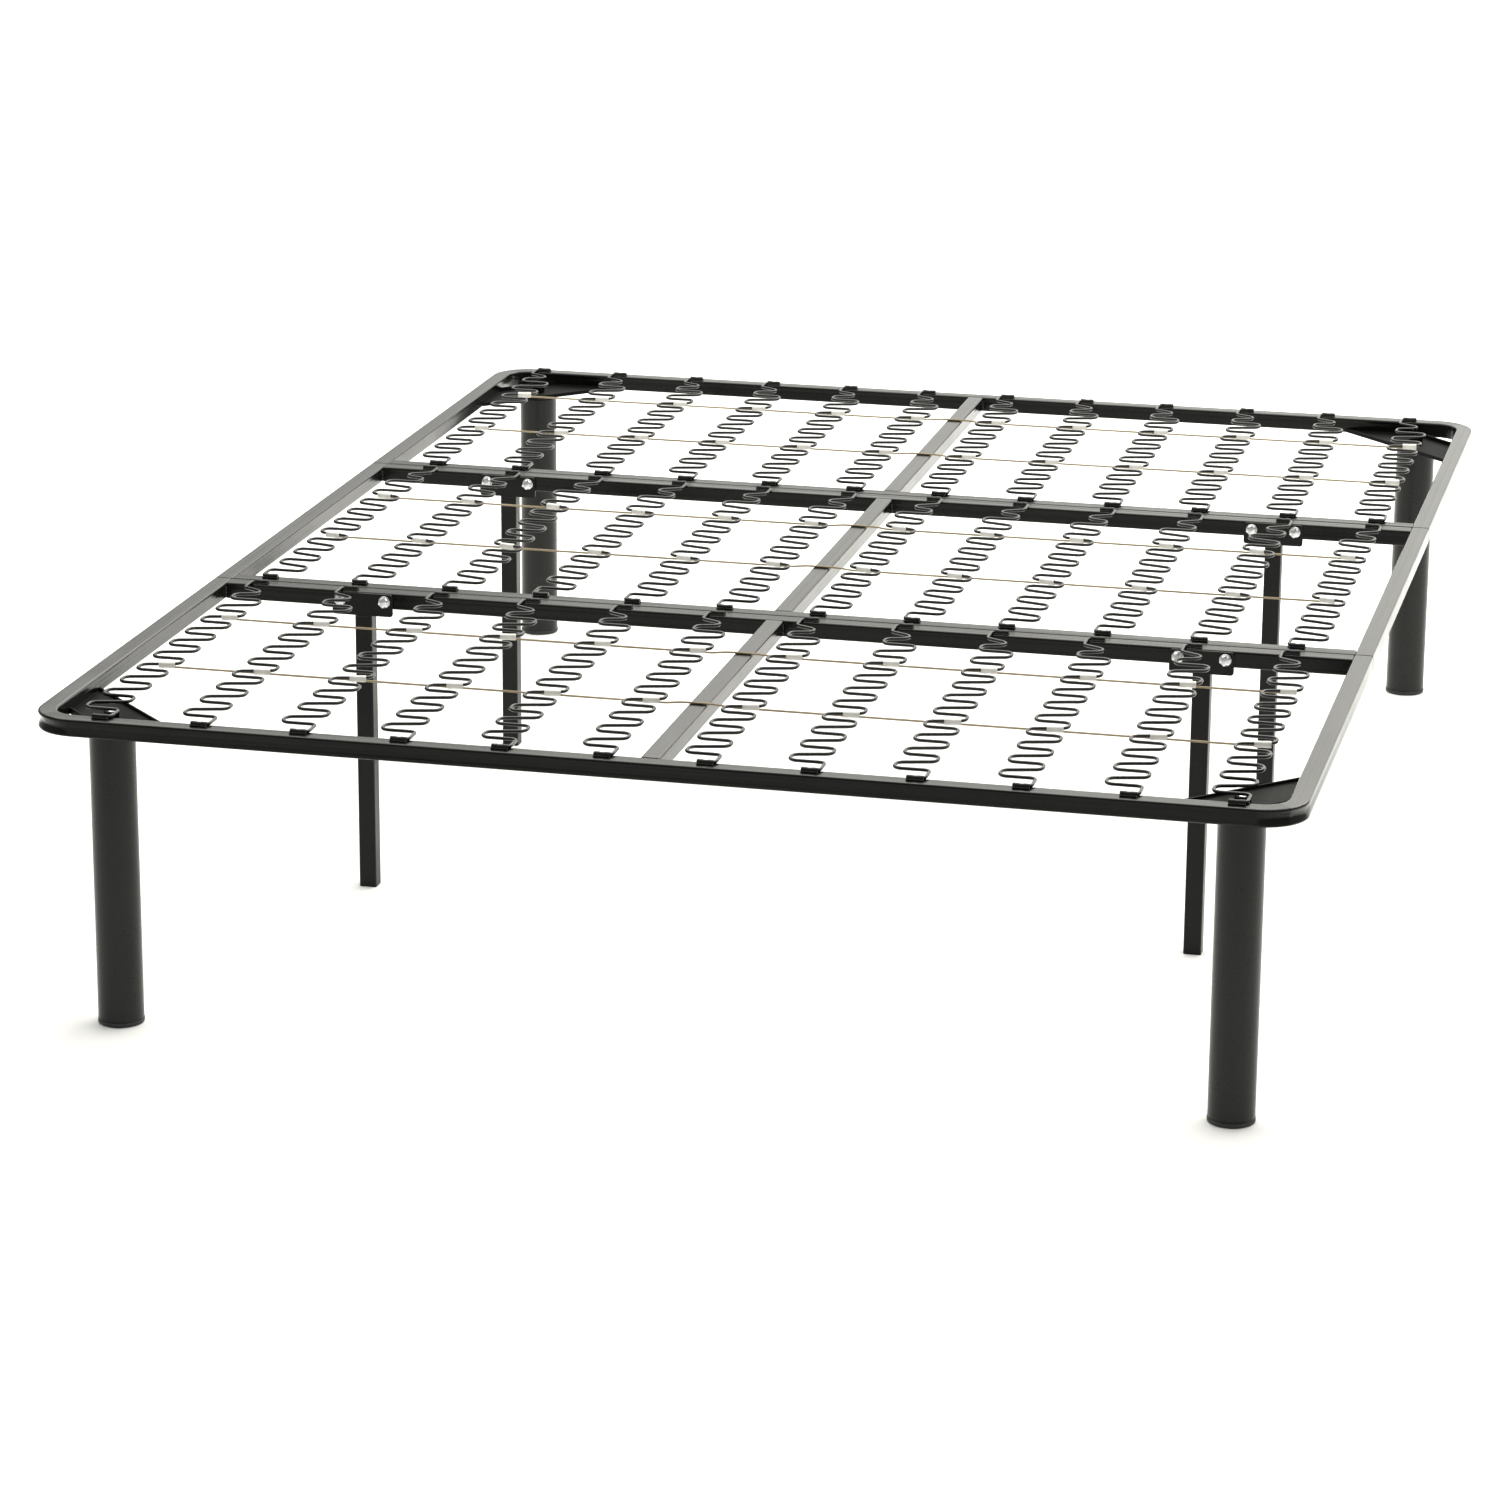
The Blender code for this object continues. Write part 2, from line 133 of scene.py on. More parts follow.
# Hex bolts.
BOLT_ACROSS = 0.013
BOLT_HEAD = 0.0053
BOLT_NUT = 0.0065
BOLT_PAST_NUT = 0.002
BOLT_CREST = 0.0040
BOLT_ROOT = 0.00335
BOLT_PITCH = 0.0012
WASHER_RADIUS = 0.0077
WASHER_TOP = 0.0011
HEX_POINTS = 36

# Springs.
WIRE_RADIUS = 0.0019
WIRE_SHOWN = 0.00215
WIRE_SIDES = 12
SPRING_HALF = 0.0221
SPRING_END_INSET = 0.016
SPRING_FIRST_BAR = 0.049
SPRING_LOOPS = 10
SPRING_LEAN = 0.012
BEND_ROUND = 0.0098
HOOK_ROUND = 0.0075
BEND_POINTS = 8
WIRE_TAIL = 0.018
CLIP_LENGTH = 0.020
CLIP_SETBACK = 0.0015
CLIP_HALF_DEPTH = 0.006

# Tie wires: the leaning bars that they are clipped to, their section, their rise over the centre
# rail, and the sleeves (length, depth, height) that are turned part of the way with the bars.
TIE_BARS = (3, 7)
TIE_RADIUS = 0.00135
TIE_SIDES = 10
TIE_STEPS = 160
TIE_DIP = 0.0033
TIE_REST = 0.016
TIE_SLOPE = 0.030
TIE_END = 0.008
SLEEVE_OFFSET = {1: 0.0075, -1: -0.0015}
SLEEVE_SIZE = (0.0200, 0.0078, 0.0080)
SLEEVE_DROP = 0.0011
SLEEVE_TURN = 0.67
SLEEVE_SIDES = 24
SLEEVE_SQUARENESS = 0.7


def blank_material(name):
    """Make a material with only its Principled shader and object coordinates."""
    material = bpy.data.materials.new(name)
    material.use_nodes = True
    nodes = material.node_tree.nodes
    shader = nodes["Principled BSDF"]
    place = nodes.new("ShaderNodeTexCoord")
    return material, nodes, material.node_tree.links, shader, place.outputs["Object"]


def noise(nodes, links, place, scale, detail=2.0, stretch=None):
    """Add a noise texture, stretched along an axis if stretch is given."""
    texture = nodes.new("ShaderNodeTexNoise")
    texture.inputs["Scale"].default_value = scale
    texture.inputs["Detail"].default_value = detail
    if stretch:
        mapping = nodes.new("ShaderNodeMapping")
        mapping.inputs["Scale"].default_value = stretch
        links.new(place, mapping.inputs["Vector"])
        place = mapping.outputs["Vector"]
    links.new(place, texture.inputs["Vector"])
    return texture.outputs["Fac"]


def spread(nodes, links, value, low, high, start=0.35, end=0.65):
    """Map a texture's value to the range from low to high."""
    node = nodes.new("ShaderNodeMapRange")
    node.inputs["From Min"].default_value = start
    node.inputs["From Max"].default_value = end
    node.inputs["To Min"].default_value = low
    node.inputs["To Max"].default_value = high
    links.new(value, node.inputs["Value"])
    return node.outputs["Result"]


def blend_colours(nodes, links, factor, first, second):
    """Mix two colours by a texture's value."""
    node = nodes.new("ShaderNodeMix")
    node.data_type = "RGBA"
    node.inputs["A"].default_value = (*first, 1.0)
    node.inputs["B"].default_value = (*second, 1.0)
    links.new(factor, node.inputs["Factor"])
    return node.outputs["Result"]


def bump(nodes, links, height, distance, strength=1.0, normal=None):
    """Add a bump from a height, on top of another normal if one is given."""
    node = nodes.new("ShaderNodeBump")
    node.inputs["Strength"].default_value = strength
    node.inputs["Distance"].default_value = distance
    links.new(height, node.inputs["Height"])
    if normal:
        links.new(normal, node.inputs["Normal"])
    return node.outputs["Normal"]


def paint(name, dark, light, gloss, dull, peel=0.00003, index=1.33, grain=None):
    """Black enamel: a faint orange peel, cloudy gloss, fine scuffs and a little dust.

    grain stretches the drawing lines of a tube, which show through the paint, along its length.
    """
    material, nodes, links, shader, place = blank_material(name)
    cloud = noise(nodes, links, place, 9.0, 4.0)
    dust = noise(nodes, links, place, 260.0, 6.0)
    scuff = noise(nodes, links, place, 70.0, 3.0, (1.0, 0.12, 1.0))
    orange_peel = noise(nodes, links, place, 420.0, 1.0)
    tone = blend_colours(nodes, links, spread(nodes, links, cloud, 0.0, 1.0), dark, light)
    speck = spread(nodes, links, dust, 0.0, 0.12, 0.64, 0.80)
    dusty = nodes.new("ShaderNodeMix")
    dusty.data_type = "RGBA"
    dusty.inputs["B"].default_value = (0.10, 0.10, 0.095, 1.0)
    links.new(speck, dusty.inputs["Factor"])
    links.new(tone, dusty.inputs["A"])
    links.new(dusty.outputs["Result"], shader.inputs["Base Color"])
    rough = nodes.new("ShaderNodeMath")
    rough.operation = "ADD"
    links.new(spread(nodes, links, cloud, gloss, dull), rough.inputs[0])
    links.new(spread(nodes, links, scuff, 0.0, 0.06, 0.55, 0.80), rough.inputs[1])
    links.new(rough.outputs["Value"], shader.inputs["Roughness"])
    shader.inputs["IOR"].default_value = index
    normal = bump(nodes, links, orange_peel, peel)
    if grain:
        drawn = noise(nodes, links, place, 110.0, 3.0, grain)
        normal = bump(nodes, links, drawn, GRAIN_DEPTH, 1.0, normal)
    links.new(normal, shader.inputs["Normal"])
    return material


def moulded_plastic(name, colour, roughness, grain):
    """Moulded plastic with a fine grain and slightly uneven tone."""
    material, nodes, links, shader, place = blank_material(name)
    cloud = noise(nodes, links, place, 40.0, 3.0)
    fine = noise(nodes, links, place, 1500.0, 2.0)
    paler = tuple(min(1.0, channel * 1.25 + 0.004) for channel in colour)
    tone = blend_colours(nodes, links, spread(nodes, links, cloud, 0.0, 1.0), colour, paler)
    links.new(tone, shader.inputs["Base Color"])
    links.new(spread(nodes, links, cloud, roughness - 0.06, roughness + 0.06), shader.inputs["Roughness"])
    links.new(bump(nodes, links, fine, grain), shader.inputs["Normal"])
    return material


def zinc_plate(name):
    """Bright zinc plate: mottled silver with fine turning marks."""
    material, nodes, links, shader, place = blank_material(name)
    shader.inputs["Metallic"].default_value = 1.0
    mottle = noise(nodes, links, place, 350.0, 5.0)
    marks = noise(nodes, links, place, 1400.0, 2.0, (1.0, 0.15, 1.0))
    tone = blend_colours(
        nodes, links, spread(nodes, links, mottle, 0.0, 1.0), (0.58, 0.59, 0.60), (0.86, 0.87, 0.88)
    )
    links.new(tone, shader.inputs["Base Color"])
    links.new(spread(nodes, links, mottle, 0.24, 0.40), shader.inputs["Roughness"])
    links.new(bump(nodes, links, marks, 0.00002), shader.inputs["Normal"])
    return material


def paper_wrap(name):
    """Brown paper wound round a tie wire: a slanting wrap, fibres and stains, and painted shade in the
    wrap's grooves.
    """
    material, nodes, links, shader, place = blank_material(name)
    wrap = nodes.new("ShaderNodeTexWave")
    wrap.bands_direction = "DIAGONAL"
    wrap.inputs["Scale"].default_value = 260.0
    wrap.inputs["Distortion"].default_value = 1.2
    links.new(place, wrap.inputs["Vector"])
    fibre = noise(nodes, links, place, 900.0, 4.0, (0.3, 1.0, 1.0))
    stain = noise(nodes, links, place, 14.0, 3.0)
    tone = blend_colours(
        nodes, links, spread(nodes, links, stain, 0.0, 1.0), (0.25, 0.20, 0.125), (0.34, 0.28, 0.185)
    )
    # Painted shade: where the wrap's bump is low, in its grooves, the paper is coloured darker brown.
    groove_shade = nodes.new("ShaderNodeMix")
    groove_shade.data_type = "RGBA"
    groove_shade.inputs["B"].default_value = (0.16, 0.105, 0.05, 1.0)
    links.new(spread(nodes, links, wrap.outputs["Fac"], 0.55, 0.0, 0.0, 0.25), groove_shade.inputs["Factor"])
    links.new(tone, groove_shade.inputs["A"])
    links.new(groove_shade.outputs["Result"], shader.inputs["Base Color"])
    links.new(spread(nodes, links, fibre, 0.70, 0.90), shader.inputs["Roughness"])
    paper = bump(nodes, links, fibre, 0.00008)
    links.new(bump(nodes, links, wrap.outputs["Fac"], 0.00015, 1.0, paper), shader.inputs["Normal"])
    return material


def shade(mesh, angle=32.0):
    """Shade a mesh smooth, keeping its sharp edges."""
    mesh.shade_smooth()
    mesh.set_sharp_from_angle(angle=radians(angle))


def piece(name, mesh, material, nodes=(), place=None, smooth=32.0):
    """Make a mesh a piece of the bed, in its place, standing for CAD nodes if any are named."""
    item = bpy.data.objects.new(name, mesh)
    bpy.context.scene.collection.objects.link(item)
    if not mesh.materials:
        for coat in material if isinstance(material, tuple) else (material,):
            mesh.materials.append(coat)
        shade(mesh, smooth)
    if place is not None:
        item.matrix_world = place
    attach(item, "root")
    if nodes:
        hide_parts(*nodes)
    return item


def finish_mesh(name, shape):
    """Turn a bmesh into a mesh, with its faces pointing out."""
    bmesh.ops.recalc_face_normals(shape, faces=shape.faces)
    mesh = bpy.data.meshes.new(name)
    shape.to_mesh(mesh)
    shape.free()
    return mesh


def loft(shape, rings):
    """Join rings of vertices into a closed solid."""
    count = len(rings[0])
    for ring, following in zip(rings, rings[1:]):
        for k in range(count):
            k2 = (k + 1) % count
            shape.faces.new((ring[k], ring[k2], following[k2], following[k]))
    shape.faces.new(list(reversed(rings[0])))
    shape.faces.new(rings[-1])


def add_tube(shape, path, section_at):
    """Sweep a section along a path of 3D points in or near the XY plane.

    section_at(index) gives the section's (across, up) points at one point of the path,
    where across is to the left of the way along it. Faces that run along X get the mesh's
    second material, the others its first.
    """
    count = len(path)
    rings = []
    for index, point in enumerate(path):
        before = path[max(index - 1, 0)]
        after = path[min(index + 1, count - 1)]
        first = (point - before).normalized() if index > 0 else (after - point).normalized()
        second = (after - point).normalized() if index < count - 1 else first
        way = (first + second).normalized()
        stretch = 1.0 / max(way.dot(first), 0.5)
        left = Vector((-way.y, way.x, 0.0)).normalized() * stretch
        up = Vector((0.0, 0.0, 1.0)) if abs(way.z) < 1e-6 else way.cross(left).normalized()
        rings.append([shape.verts.new(point + left * a + up * b) for a, b in section_at(index)])
    for index, (ring, following) in enumerate(zip(rings, rings[1:])):
        way = path[index + 1] - path[index]
        slot = 1 if abs(way.x) > abs(way.y) else 0
        for k in range(len(ring)):
            k2 = (k + 1) % len(ring)
            face = shape.faces.new((ring[k], ring[k2], following[k2], following[k]))
            face.material_index = slot
    shape.faces.new(list(reversed(rings[0])))
    shape.faces.new(rings[-1])


def round_section(radius, sides):
    """Give the points of a round section."""
    return [(radius * cos(2 * pi * k / sides), radius * sin(2 * pi * k / sides)) for k in range(sides)]


def filleted(points, radii, steps):
    """Round the inner corners of a path of (x, y) points, each by its own radius."""
    path = [Vector((*points[0], 0.0))]
    for before, corner, after, radius in zip(points, points[1:], points[2:], radii):
        corner = Vector(corner)
        back = (Vector(before) - corner).normalized()
        ahead = (Vector(after) - corner).normalized()
        half_angle = back.angle(ahead) / 2
        if half_angle >= pi / 2 - 1e-4:
            path.append(Vector((*corner, 0.0)))
            continue
        reach = radius / (sin(half_angle) / cos(half_angle))
        start = corner + back * reach
        end = corner + ahead * reach
        centre = corner + (back + ahead).normalized() * (radius / sin(half_angle))
        first = start - centre
        sweep = first.angle_signed(end - centre)
        for step in range(steps + 1):
            turn = Matrix.Rotation(-sweep * step / steps, 2)
            path.append(Vector((*(centre + turn @ first), 0.0)))
    path.append(Vector((*points[-1], 0.0)))
    return path


def box_section(half_width, half_height, round_radius, sink=0.0):
    """Give the section of a rounded box tube, its right wall sunk in by a bend."""
    points = []
    centre_a = half_width - round_radius
    centre_b = half_height - round_radius
    corners = (
        (centre_a, centre_b, 0, (-1, 0)),
        (-centre_a, centre_b, 90, (0, -1)),
        (-centre_a, -centre_b, 180, (1, 0)),
        (centre_a, -centre_b, 270, (0, 1)),
    )
    for a, b, start, (way_a, way_b) in corners:
        for step in range(ARC_STEPS + 1):
            angle = radians(start + 90 * step / ARC_STEPS)
            points.append((a + round_radius * cos(angle), b + round_radius * sin(angle)))
        flat = 2 * centre_a if way_a else 2 * centre_b
        first_a, first_b = points[-1]
        shares = [step / (WALL_POINTS - 1) for step in range(WALL_POINTS)]
        shares[0] = FLAT_EDGE / flat
        shares[-1] = 1 - FLAT_EDGE / flat
        for share in shares:
            points.append((first_a + way_a * flat * share, first_b + way_b * flat * share))
    sunk = []
    for a, b in points:
        share = cos(pi / 2 * min(1.0, abs(b) / (half_height * SINK_SPAN))) ** 2
        if a < -half_width + round_radius * 0.5:
            a += sink * share
        sunk.append((a, b))
    return sunk


def rail_z():
    """Give the height of the middle of the rails."""
    low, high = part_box("frame_middle")
    return (low.z + high.z) / 2


def add_rail(shape, path, sinks=None):
    """Sweep a rail tube along a path, its two ends softened.

    sinks gives how far the right wall is sunk at each point.
    """
    first = path[0] + (path[1] - path[0]).normalized() * END_SOFT
    last = path[-1] + (path[-2] - path[-1]).normalized() * END_SOFT
    full_path = [path[0], first, *path[1:-1], last, path[-1]]
    full_sinks = [0.0, 0.0, *(sinks or [0.0] * len(path))[1:-1], 0.0, 0.0]
    ends = (0, len(full_path) - 1)

    def section(index):
        inset = END_SOFT if index in ends else 0.0
        half_width = TUBE_WIDTH / 2 - inset
        half_height = TUBE_HEIGHT / 2 - inset
        return box_section(half_width, half_height, TUBE_ROUND - inset, full_sinks[index])

    add_tube(shape, full_path, section)


def straight(x0, y0, x1, y1, z):
    """Give the path of a straight rail."""
    return [Vector((x0, y0, z)), Vector((x1, y1, z))]


def bent_rail(low, high, end, z):
    """Give the path and wall sinks of an end panel's rail, bent round both corners.

    end is -1 for the foot end, where the bends are at the low Y, and 1 for the head end.
    """
    half = TUBE_WIDTH / 2
    left = low.x + half
    right = high.x - half
    far = low.y + half if end < 0 else high.y - half
    open_end = high.y if end < 0 else low.y
    corners = [(right, far), (left, far)] if end > 0 else [(left, far), (right, far)]
    points = [(corners[0][0], open_end), *corners, (corners[1][0], open_end)]
    radius = BEND_RADIUS - half
    path = [point + Vector((0, 0, z)) for point in filleted(points, (radius, radius), BEND_STEPS)]
    sinks = [0.0] * len(path)
    for bend in range(2):
        start = 1 + bend * (BEND_STEPS + 1)
        for step in range(1, BEND_STEPS):
            sinks[start + step] = BEND_SINK * sin(pi * step / BEND_STEPS) ** 0.7
    return path, sinks


def add_bead(shape, start, end, radius, seed):
    """Lay a rippled weld bead between two points."""
    along = end - start
    count = max(6, int(along.length / 0.0011))
    side = along.normalized().orthogonal().normalized()
    other = along.normalized().cross(side)
    rings = []
    for k in range(count + 1):
        share = k / count
        ripple = 1 + 0.16 * sin(k * 2.1 + seed) + 0.07 * sin(k * 0.7 + 2 * seed)
        taper = min(1.0, 0.35 + 4.0 * min(share, 1 - share))
        size = radius * ripple * taper
        centre = start + along * share
        rings.append([
            shape.verts.new(centre + side * size * cos(2 * pi * j / 8) + other * size * sin(2 * pi * j / 8))
            for j in range(8)
        ])
    loft(shape, rings)


def add_joint_beads(shape, x, y, side_x, side_y, z):
    """Weld one end of a rail that meets another at (x, y): both sides and underneath."""
    half = TUBE_HEIGHT / 2
    across = TUBE_WIDTH / 2
    top = z + half - TUBE_ROUND
    bottom = z - half + TUBE_ROUND
    for way in (-1, 1):
        px = x + (way * across if side_y else 0.0)
        py = y + (way * across if side_x else 0.0)
        add_bead(shape, Vector((px, py, bottom)), Vector((px, py, top)), 0.0016, px * 40 + py * 17)
    inset = across - TUBE_ROUND
    first = Vector((x - (inset if side_y else 0.0), y - (inset if side_x else 0.0), z - half + 0.0002))
    last = Vector((x + (inset if side_y else 0.0), y + (inset if side_x else 0.0), z - half + 0.0002))
    add_bead(shape, first, last, 0.0014, x * 31 + y * 13)


def build_panel(name, coats):
    """Build one panel's rails and welds in the place of its CAD frame."""
    low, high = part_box("frame_" + name)
    z = rail_z()
    half = TUBE_WIDTH / 2
    centre = (low.y + TUBE_WIDTH, high.y - TUBE_WIDTH)
    rails = bmesh.new()
    if name == "middle":
        for x in (low.x + half, high.x - half):
            add_rail(rails, straight(x, low.y, x, high.y, z))
        crosses = (low.y + half, high.y - half)
    else:
        end = -1 if name == "front" else 1
        path, sinks = bent_rail(low, high, end, z)
        add_rail(rails, path, sinks)
        crosses = (high.y - half,) if end < 0 else (low.y + half,)
    for y in crosses:
        add_rail(rails, straight(low.x + TUBE_WIDTH, y, high.x - TUBE_WIDTH, y, z))
    add_rail(rails, straight(0.0, centre[0], 0.0, centre[1], z))
    piece("rails_" + name, finish_mesh("rails_" + name, rails), coats, ["frame_" + name])
    welds = bmesh.new()
    for y in crosses:
        for side in (-1, 1):
            add_joint_beads(welds, side * (high.x - TUBE_WIDTH), y, True, False, z)
    for y in centre:
        add_joint_beads(welds, 0.0, y, False, True, z)
    piece("welds_" + name, finish_mesh("welds_" + name, welds), coats[0])


def add_ring(shape, radius, height, sides, place):
    """Add a ring of vertices about the Z axis and move it to its place."""
    return [shape.verts.new(place @ Vector((x, y, height))) for x, y in round_section(radius, sides)]


def hex_prism(shape, radius, low, high, chamfer, place):
    """Add a hexagonal prism from low to high along Z, its two rims chamfered."""
    levels = (
        (radius - chamfer, low),
        (radius, low + chamfer),
        (radius, high - chamfer),
        (radius - chamfer, high),
    )
    loft(shape, [add_ring(shape, size, height, 6, place) for size, height in levels])


def turned(shape, profile, sides, place=Matrix.Identity(4)):
    """Add a turned solid from (radius, height) points that start and end on the axis."""
    start = shape.verts.new(place @ Vector((0.0, 0.0, profile[0][1])))
    end = shape.verts.new(place @ Vector((0.0, 0.0, profile[-1][1])))
    rings = [add_ring(shape, radius, height, sides, place) for radius, height in profile[1:-1]]
    for k in range(sides):
        k2 = (k + 1) % sides
        shape.faces.new((start, rings[0][k2], rings[0][k]))
        shape.faces.new((end, rings[-1][k], rings[-1][k2]))
        for ring, following in zip(rings, rings[1:]):
            shape.faces.new((ring[k], ring[k2], following[k2], following[k]))


def rounded_rim(radius, height, size, start, end, steps=5):
    """Give profile points round a rim; start and end are angles in degrees."""
    points = []
    for step in range(steps + 1):
        angle = radians(start + (end - start) * step / steps)
        points.append((radius + size * cos(angle), height + size * sin(angle)))
    return points


def channel_outline(height_near, height_far, thickness, width):
    """Give the section of a shallow channel, from its near lip to its far lip: (along, up)."""
    points = [(0.0, height_near), (0.0, FOLD), (FOLD * 0.3, FOLD * 0.3), (FOLD, 0.0)]
    points += [(width - FOLD, 0.0), (width - FOLD * 0.3, FOLD * 0.3), (width, FOLD), (width, height_far)]
    points += [(width - thickness, height_far), (width - thickness, thickness + FOLD * 0.4)]
    points += [(width - thickness - FOLD * 0.4, thickness), (thickness + FOLD * 0.4, thickness)]
    points += [(thickness, thickness + FOLD * 0.4), (thickness, height_near)]
    return points


def build_corner_plate(name, side, end, paint_material):
    """Build the channel plate welded across one corner, its weld nut and its weld beads."""
    _, high = CAD_BOX
    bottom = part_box("frame_middle")[0].z + REST_GAP
    start = TUBE_WIDTH - PLATE_TUCK
    outline = channel_outline(LIP_NEAR, LIP_FAR, PLATE_SHEET, (PLATE_FAR - PLATE_NEAR) / sqrt(2))
    plate = bmesh.new()
    rings = []
    for first in (True, False):
        ring = []
        for along, up in outline:
            reach = PLATE_NEAR + along * sqrt(2)
            x, y = (start, reach - start) if first else (reach - start, start)
            ring.append(plate.verts.new((side * (high.x - x), end * (high.y - y), bottom + up)))
        rings.append(ring)
    loft(plate, rings)
    leg_low, leg_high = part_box("leg_" + name)
    axis = Vector(((leg_low.x + leg_high.x) / 2, (leg_low.y + leg_high.y) / 2, 0.0))
    top = bottom + PLATE_SHEET
    across = WELD_NUT_ACROSS / 2 / cos(pi / 6)
    hex_prism(plate, across, top, bottom + WELD_NUT_TOP, WELD_NUT_CHAMFER, Matrix.Translation(axis))
    near = PLATE_NEAR - start + BEAD_MARGIN
    far = PLATE_FAR - start - BEAD_MARGIN
    for x0, y0, x1, y1 in ((near, TUBE_WIDTH, far, TUBE_WIDTH), (TUBE_WIDTH, near, TUBE_WIDTH, far)):
        first = Vector((side * (high.x - x0), end * (high.y - y0), top))
        last = Vector((side * (high.x - x1), end * (high.y - y1), top))
        add_bead(plate, first, last, 0.0015, x0 * 90)
    piece("corner_plate_" + name, finish_mesh("corner_plate_" + name, plate), paint_material)


def build_leg(name, leg_paint, plastic, zinc):
    """Build a round leg with its stud, and the foot cap below it."""
    low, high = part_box("leg_" + name)
    cap_low, cap_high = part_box("foot_cap_" + name)
    place = Matrix.Translation(((low.x + high.x) / 2, (low.y + high.y) / 2, 0.0))
    radius = (high.x - low.x) / 2
    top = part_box("frame_middle")[0].z
    bottom = low.z
    groove = top - LEG_GROOVE
    profile = [(0.0, top)]
    profile += rounded_rim(radius - 0.0010, top - 0.0010, 0.0010, 90, 0)
    profile += [(radius, groove + 0.0005), (radius - 0.0005, groove), (radius, groove - 0.0005)]
    profile += [(radius, groove - 0.002), (radius, bottom + 0.002)]
    profile += rounded_rim(radius - 0.0005, bottom + 0.0005, 0.0005, 0, -90, 3)
    inside = radius - LEG_WALL
    profile += [(inside, bottom), (inside, top - LEG_LID), (0.0, top - LEG_LID)]
    leg = bmesh.new()
    turned(leg, profile, TURNED_SIDES, place)
    piece("leg_tube_" + name, finish_mesh("leg_tube_" + name, leg), leg_paint, ["leg_" + name])
    stud = bmesh.new()
    threads = [(0.0, high.z), (STUD_ROOT, high.z)]
    level = high.z - 0.0008
    while level > top + 0.001:
        threads += [(STUD_CREST, level), (STUD_ROOT, level - STUD_PITCH / 2)]
        level -= STUD_PITCH
    threads += [(STUD_ROOT, top - 0.001), (0.0, top - 0.001)]
    turned(stud, threads, 20, place)
    piece("leg_stud_" + name, finish_mesh("leg_stud_" + name, stud), zinc, smooth=50.0)
    cap = bmesh.new()
    rim = (cap_high.x - cap_low.x) / 2
    profile = [(0.0, cap_high.z), (inside - 0.0018, cap_high.z), (inside - REST_GAP, cap_high.z - 0.0015)]
    profile += [(inside - REST_GAP, bottom - REST_GAP), (rim - 0.0012, bottom - REST_GAP)]
    profile += rounded_rim(rim - 0.0010, bottom - 0.0013, 0.0010, 90, 0, 4)
    profile += rounded_rim(rim - 0.0022, 0.0022, 0.0022, 0, -90, 5)
    profile += [(rim - 0.006, 0.0), (rim - 0.0065, 0.0006), (rim - 0.012, 0.0006)]
    profile += [(rim - 0.0125, 0.0), (0.0, 0.0)]
    turned(cap, profile, TURNED_SIDES, place)
    piece("foot_" + name, finish_mesh("foot_" + name, cap), plastic, ["foot_cap_" + name])


def build_support(name, paint_material, plastic):
    """Build a square support leg: tube, bracket plate, weld beads and end plug."""
    low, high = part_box("support_leg_" + name)
    centre_x = (low.x + high.x) / 2
    half = SUPPORT_SIZE / 2
    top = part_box("frame_middle")[0].z - REST_GAP
    leg_y = high.y - half
    legs = bmesh.new()
    section = box_section(half, half, SUPPORT_ROUND)
    inner_section = box_section(half - SUPPORT_WALL, half - SUPPORT_WALL, 0.0016)
    rings = []
    for points, z in ((section, 0.0), (section, top), (inner_section, PLUG_DEPTH), (inner_section, 0.0)):
        rings.append([legs.verts.new((centre_x + a, leg_y + b, z)) for a, b in points])
    outer_low, outer_high, inner_high, inner_low = rings
    count = len(outer_low)
    for k in range(count):
        k2 = (k + 1) % count
        legs.faces.new((outer_low[k], outer_low[k2], outer_high[k2], outer_high[k]))
        legs.faces.new((inner_low[k2], inner_low[k], inner_high[k], inner_high[k2]))
        legs.faces.new((outer_low[k2], outer_low[k], inner_low[k], inner_low[k2]))
    legs.faces.new(outer_high)
    legs.faces.new(list(reversed(inner_high)))
    plate_low = high.z - BRACKET_HEIGHT
    front = low.y
    back = front + BRACKET_SHEET
    add_plate(legs, low.x, high.x, plate_low, high.z, front, back)
    for way in (-1, 1):
        x = centre_x + way * half
        lower = Vector((x, back, plate_low + 0.001))
        upper = Vector((x, back, top - 0.0015))
        add_bead(legs, lower, upper, 0.0014, x * 50)
    left = Vector((centre_x - half + 0.002, front + 0.0010, plate_low - 0.0003))
    right = Vector((centre_x + half - 0.002, front + 0.0010, plate_low - 0.0003))
    add_bead(legs, left, right, 0.0013, centre_x * 23)
    tube = "support_tube_" + name
    piece(tube, finish_mesh(tube, legs), paint_material, ["support_leg_" + name])
    plug = bmesh.new()
    rings = []
    for inset, z in ((0.0030, 0.0), (0.0018, 0.0007), (0.0017, 0.0098), (0.0030, 0.0098)):
        points = box_section(half - inset, half - inset, 0.0014)
        rings.append([plug.verts.new((centre_x + a, leg_y + b, z)) for a, b in points])
    loft(plug, rings)
    piece("support_plug_" + name, finish_mesh("support_plug_" + name, plug), plastic)


def add_plate(shape, x0, x1, z0, z1, y0, y1):
    """Add an upright plate with rounded corners and softened edges."""
    outline = []
    radius = BRACKET_ROUND
    corners = (
        (x1 - radius, z1 - radius, 0),
        (x0 + radius, z1 - radius, 90),
        (x0 + radius, z0 + radius, 180),
        (x1 - radius, z0 + radius, 270),
    )
    for cx, cz, start in corners:
        for step in range(7):
            angle = radians(start + 90 * step / 6)
            outline.append((cx + radius * cos(angle), cz + radius * sin(angle), cos(angle), sin(angle)))
    rings = []
    soft = BRACKET_SOFT
    for y, inset in ((y0, soft), (y0 + soft, 0.0), (y1 - soft, 0.0), (y1, soft)):
        rings.append([shape.verts.new((x - nx * inset, y, z - nz * inset)) for x, z, nx, nz in outline])
    loft(shape, rings)


